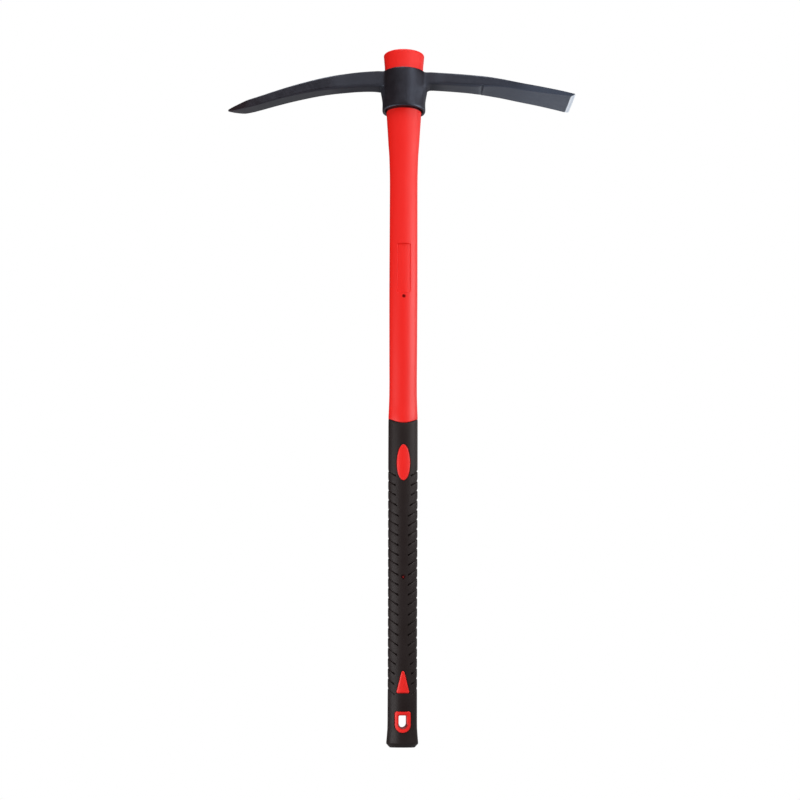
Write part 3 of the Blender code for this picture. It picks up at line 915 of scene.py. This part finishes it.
# Satin red polypropylene, as it leaves the mould, with painted shade at the head's foot, in the hang slot and
# in the pin holes.
redLook = {
    "deep": (0.9, 0.007, 0.003), "bright": (0.98, 0.01, 0.0045), "rough": 0.45,
    # painted shade: a dark band at the head's foot, where the gap under the collar lies in shadow
    "seatShade": (0.02, 0.0008, 0.0008), "seatFrom": 0.8171, "seatTo": 0.8215, "seatSoft": 0.0006, "paintedShadeStrength": 0.95,
    # painted shade also in the foot of the hang slot, out to a little beyond its rounded end
    "slotFoot": (0.12, 0.002, 0.003), "slotDrop": 0.0008, "slotMargin": 0.0012, "slotFade": 0.002,
    # painted shade down in the pin holes
    "pinPitShade": (0.55, 0.004, 0.003), "gripPinPitShade": (0.11, 0.002, 0.007),  # down in the pin marks
    "pitMargin": 0.0002, "pitSoft": 0.0003,
}


def redFinish():
    paint = newFinish("redPlastic", {"Specular IOR Level": 0.56})
    cloud = paint.grain(22, 3, 0.55, (1, 1, 0.25))
    x, z = paint.axes("XZ")
    colour = paint.mixed((cloud * 0.5 + 0.35).clamped(), redLook["bright"], redLook["deep"])
    colour = paint.mixed(0.35, colour, redLook["bright"])
    fine = paint.grain(1800)
    scuff = paint.grain(160, 4, 0.6, (1, 1, 0.12))
    rough = redLook["rough"] + (cloud - 0.5) * 0.1 + (scuff - 0.5) * 0.08
    # painted shade: a dark band on the red just under the head's foot
    soft, paintedShadeStrength = redLook["seatSoft"], redLook["paintedShadeStrength"]
    seatShade = z.over(redLook["seatFrom"], soft) * (1 - z.over(redLook["seatTo"], soft))
    colour = paint.mixed(seatShade * paintedShadeStrength, colour, redLook["seatShade"])
    # painted shade in the foot of the hang slot, inside and just round its rounded end
    half = islands["slotWidth"] / 2
    drop = islands["slotFoot"] + half - redLook["slotDrop"] - z
    slotShade = 1 - ((x * x + drop * drop) ** 0.5).over(half + redLook["slotMargin"], soft)
    colour = paint.mixed(slotShade * drop.over(0.0, redLook["slotFade"]) * paintedShadeStrength, colour, redLook["slotFoot"])
    # painted shade down in the pin holes, leaving out the grip pin's stub
    soft = redLook["pitSoft"]
    for name in ("pin", "gripPin"):
        rise = z - moulding[name + "Height"]
        away = (x * x + rise * rise) ** 0.5
        inside = 1 - away.over(moulding[name] / 2 + redLook["pitMargin"], soft)
        if name == "gripPin":
            inside = inside * away.over(moulding["nubHalf"], soft)
        colour = paint.mixed(inside, colour, redLook[name + "PitShade"])
    paint.give({"Base Color": colour, "Roughness": rough})
    paint.give({"Normal": paint.bumped(fine, 0.00004, 0.35, paint.bumped(cloud, 0.0006, 0.4))})
    return paint.owner


rubberLook = {
    "dark": (0.014, 0.0075, 0.007), "dusty": (0.025, 0.018, 0.018),
    "rough": 0.5, "buttRough": 0.45, "buttAt": (0.06, 0.012),
}


def rubberFinish():
    paint = newFinish("blackRubber", {"Specular IOR Level": 0.25})
    cloud = paint.grain(30, 3, 0.6)
    pores = paint.grain(2600)
    colour = paint.mixed((cloud * 0.9 - 0.2).clamped(), rubberLook["dark"], rubberLook["dusty"])
    polished = 1 - paint.axes("Z")[0].over(*rubberLook["buttAt"])
    rough = rubberLook["rough"] - polished * (rubberLook["rough"] - rubberLook["buttRough"])
    rough = rough + (cloud - 0.5) * 0.12 + (pores - 0.5) * 0.1
    paint.give({"Base Color": colour, "Roughness": rough})
    paint.give({"Normal": paint.bumped(pores, 0.00005, 0.6)})
    return paint.owner


# Charcoal enamel over the forging's skin, with the blade's edge ground bright and painted light on the
# blade's sides and underside.
# Names in At, rootFrom and rootTo hold a ramp's middle and its width.
headLook = {
    "enamel": (0.005, 0.0022, 0.0026), "light": (0.011, 0.005, 0.0058), "brown": (0.02, 0.0045, 0.003),
    # painted light: the blade's sides, and most of all its downward faces, lighter and bluer
    "paintedLight": (0.047, 0.058, 0.086), "paintedLightAt": (0.1, 0.13), "paintedLightTop": 0.4,
    "tipAt": (0.205, 0.04), "tipBrown": 0.55,  # the enamel is worn brown at the point
    "sheen": (0.66, 0.77, 1.0), "sheenLevel": 0.88, "rough": 0.4,
    # duller where the arms start
    "rootRough": 0.32, "rootFrom": (0.0275, 0.004), "rootTo": (0.047, 0.016), "rootPickShare": 0.55,
    "steel": (0.94, 0.97, 1.0), "dull": (0.55, 0.61, 0.67), "steelRough": 0.28,
    "blued": (0.006, 0.02, 0.034), "bluedAt": (0.2182, 0.006),
    "groundAt": (0.2207, 0.0004), "groundMiddle": 0.224, "groundBow": 0.5, "lineHalf": 0.001,
    "cornerFrom": 0.0205, "cornerBow": 90.0,
}


def headFinish():
    fixed = {"Specular IOR Level": headLook["sheenLevel"], "Specular Tint": headLook["sheen"]}
    paint = newFinish("forgedEnamel", fixed)
    x, y = paint.axes("XY")
    scale = paint.grain(38, 4, 0.6)
    dents = paint.grain(120, 3, 0.55)
    fine = paint.grain(1300)
    colour = paint.mixed((scale * 1.4 - 0.3).clamped(), headLook["enamel"], headLook["light"])
    colour = paint.mixed(((dents - 0.56) * 3).clamped() * 0.5, colour, headLook["brown"])
    # painted light: on the blade, faces that look down, and less so its sides, are made lighter and bluer, as
    # if lit from the floor below
    facing = paint.node("ShaderNodeNewGeometry", {}, {}, "Normal")
    facing = paint.node("ShaderNodeSeparateXYZ", {}, {0: facing}, "Z")
    under = (facing * -1.3 + 0.15).clamped()
    paintedLight = x.over(*headLook["paintedLightAt"])
    paintedLight = paintedLight * (headLook["paintedLightTop"] + under * (1 - headLook["paintedLightTop"])).clamped()
    colour = paint.mixed(paintedLight, colour, headLook["paintedLight"])
    tip = (0 - x).over(*headLook["tipAt"])
    colour = paint.mixed(tip * headLook["tipBrown"], colour, headLook["brown"])
    edge = x + y * y * headLook["groundBow"]
    corner = (0 - y - headLook["cornerFrom"]).clamped()
    boundary = edge - corner * corner * headLook["cornerBow"] + (dents - 0.5) * 0.001
    ground = boundary.over(*headLook["groundAt"])
    colour = paint.mixed(boundary.over(*headLook["bluedAt"]) * 0.6, colour, headLook["blued"])
    streaks = paint.grain(900, 3, 0.6, (1, 0.06, 1))
    line = (1 - abs(edge - headLook["groundMiddle"]) / headLook["lineHalf"]).clamped()
    steel = paint.mixed((streaks * 1.6 - 0.6).clamped() * 0.4, headLook["steel"], headLook["dull"])
    steel = paint.mixed(line * 0.6, steel, headLook["dull"])
    colour = paint.mixed(ground, colour, steel)
    away = abs(x) - (0 - x).clamped() * (1 - headLook["rootPickShare"])
    root = abs(x).over(*headLook["rootFrom"]) * (1 - away.over(*headLook["rootTo"]))
    rough = headLook["rough"] + root * headLook["rootRough"] + (scale - 0.5) * 0.16 + (dents - 0.5) * 0.14
    rough = rough * (1 - ground) + (headLook["steelRough"] + streaks * 0.14) * ground
    paint.give({"Base Color": colour, "Roughness": rough, "Metallic": ground * 0.9})
    forged = paint.bumped(dents, 0.0004, 0.35, paint.bumped(scale, 0.0012, 0.35))
    paint.give({"Normal": paint.bumped(fine + streaks * ground, 0.00005, 0.4, forged)})
    return paint.owner


coreLook = {"resin": (0.62, 0.57, 0.33), "fibre": (0.8, 0.77, 0.55), "dark": (0.3, 0.26, 0.13)}


def coreFinish():
    paint = newFinish("sawnFibreglass", {"Specular IOR Level": 0.4})
    strands = paint.node("ShaderNodeTexVoronoi", {"feature": "F1"}, {"Vector": paint.place(), "Scale": 1500})
    saw = paint.grain(260, 3, 0.6, (0.25, 1, 1))
    colour = paint.mixed((strands * 1.5).clamped(), coreLook["fibre"], coreLook["resin"])
    colour = paint.mixed(((saw - 0.55) * 3).clamped() * 0.6, colour, coreLook["dark"])
    paint.give({"Base Color": colour, "Roughness": 0.5 + saw * 0.25})
    paint.give({"Normal": paint.bumped(strands + saw, 0.00012, 0.6)})
    return paint.owner


for piece, finish in ((redMoulding, redFinish), (rubberSleeve, rubberFinish), (forgedHead, headFinish)):
    piece.data.materials.clear()
    piece.data.materials.append(finish())
frame["nodes"]["fibreglass_core"].material_slots[0].material = coreFinish()
print("finishes made")


# Pale floor, soft lights and the camera, low in front of the tool and looking up at its head.
studio = {
    "floorRadius": 9.0, "floorHeight": -0.0003, "floorGlow": 0.45,
    "roomColour": (1.0, 0.76, 0.71), "roomStrength": 0.05,
    # each light's place, what it is aimed at, its size and its power in watts
    "lights": {
        "rightLow": ((1.15, -0.45, 0.85), (0, 0, 0.7), (1.1, 0.5), 10.0),
        "leftLow": ((-1.0, -0.6, 0.26), (0, 0, 0.16), (1.2, 0.44), 8.8),
        "overhead": ((-0.2, -0.9, 2.9), (0, 0, 0.4), (1.0, 1.0), 34),
        "frontTop": ((0.0, -1.8, 2.7), (0, 0, 0.4), (1.0, 0.8), 2.8),
        "frontRight": ((1.1, -1.7, 1.9), (0, 0, 0.6), (0.9, 0.9), 6.7),
        "edgeGlint": ((0.42, 0.62, 0.6), (0.224, 0, 0.84), (0.45, 0.35), 0.24),
        "backRight": ((1.2, 0.8, 0.9), (0, 0, 0.6), (0.9, 1.4), 2.8),
    },
}


def buildFloor():
    form = bmesh.new()
    bmesh.ops.create_circle(form, cap_ends=True, radius=studio["floorRadius"], segments=96)
    bmesh.ops.translate(form, vec=(0, 0, studio["floorHeight"]), verts=form.verts)
    piece = newPiece("paleFloor", form)
    # It is burnt out to white in the picture, but lights the tool more gently.
    paint = newFinish("palePaper", {"Base Color": (0, 0, 0), "Roughness": 1.0, "Specular IOR Level": 0.0})
    paint.give({"Emission Color": (1, 1, 1), "Emission Strength": studio["floorGlow"]})
    paint.shownWhite("ShaderNodeEmission")
    piece.data.materials.append(paint.owner)


buildFloor()
for name, (place, target, size, power) in studio["lights"].items():
    lamp = bpy.data.lights.new(name, "AREA")
    lamp.shape = "RECTANGLE"
    lamp.size, lamp.size_y = size
    lamp.energy = power
    thing = shown(name, lamp)
    thing.location = place
    thing.rotation_euler = (Vector(place) - Vector(target)).to_track_quat("Z", "Y").to_euler()

world = bpy.data.worlds.new("paleRoom")
bpy.context.scene.world = world
room = Finish(world, {"Color": studio["roomColour"], "Strength": studio["roomStrength"]})
room.shownWhite("ShaderNodeBackground")
bpy.context.scene.view_settings.view_transform = "Standard"

# Angles in degrees, but the roll in radians; focal and middle in the photograph's pixels.
view = {
    "distance": 1.65, "height": 0.052, "yaw": 3.0, "pitch": 12.768, "roll": 0.0027,
    "focal": 1336.3, "middle": 403.1, "pixels": 800, "film": 36,
}
camera = shown("viewpoint", bpy.data.cameras.new("viewpoint"))
bpy.context.scene.camera = camera
yaw = math.radians(view["yaw"])
camera.location = (-view["distance"] * math.sin(yaw), -view["distance"] * math.cos(yaw), view["height"])
aim = Matrix.Rotation(-yaw, 4, "Z") @ Matrix.Rotation(math.pi / 2 + math.radians(view["pitch"]), 4, "X")
camera.rotation_euler = (aim @ Matrix.Rotation(view["roll"], 4, "Z")).to_euler()
camera.data.sensor_width = view["film"]
camera.data.lens = view["focal"] * view["film"] / view["pixels"]
camera.data.shift_x = (view["pixels"] / 2 - view["middle"]) / view["pixels"]
print("studio ready")
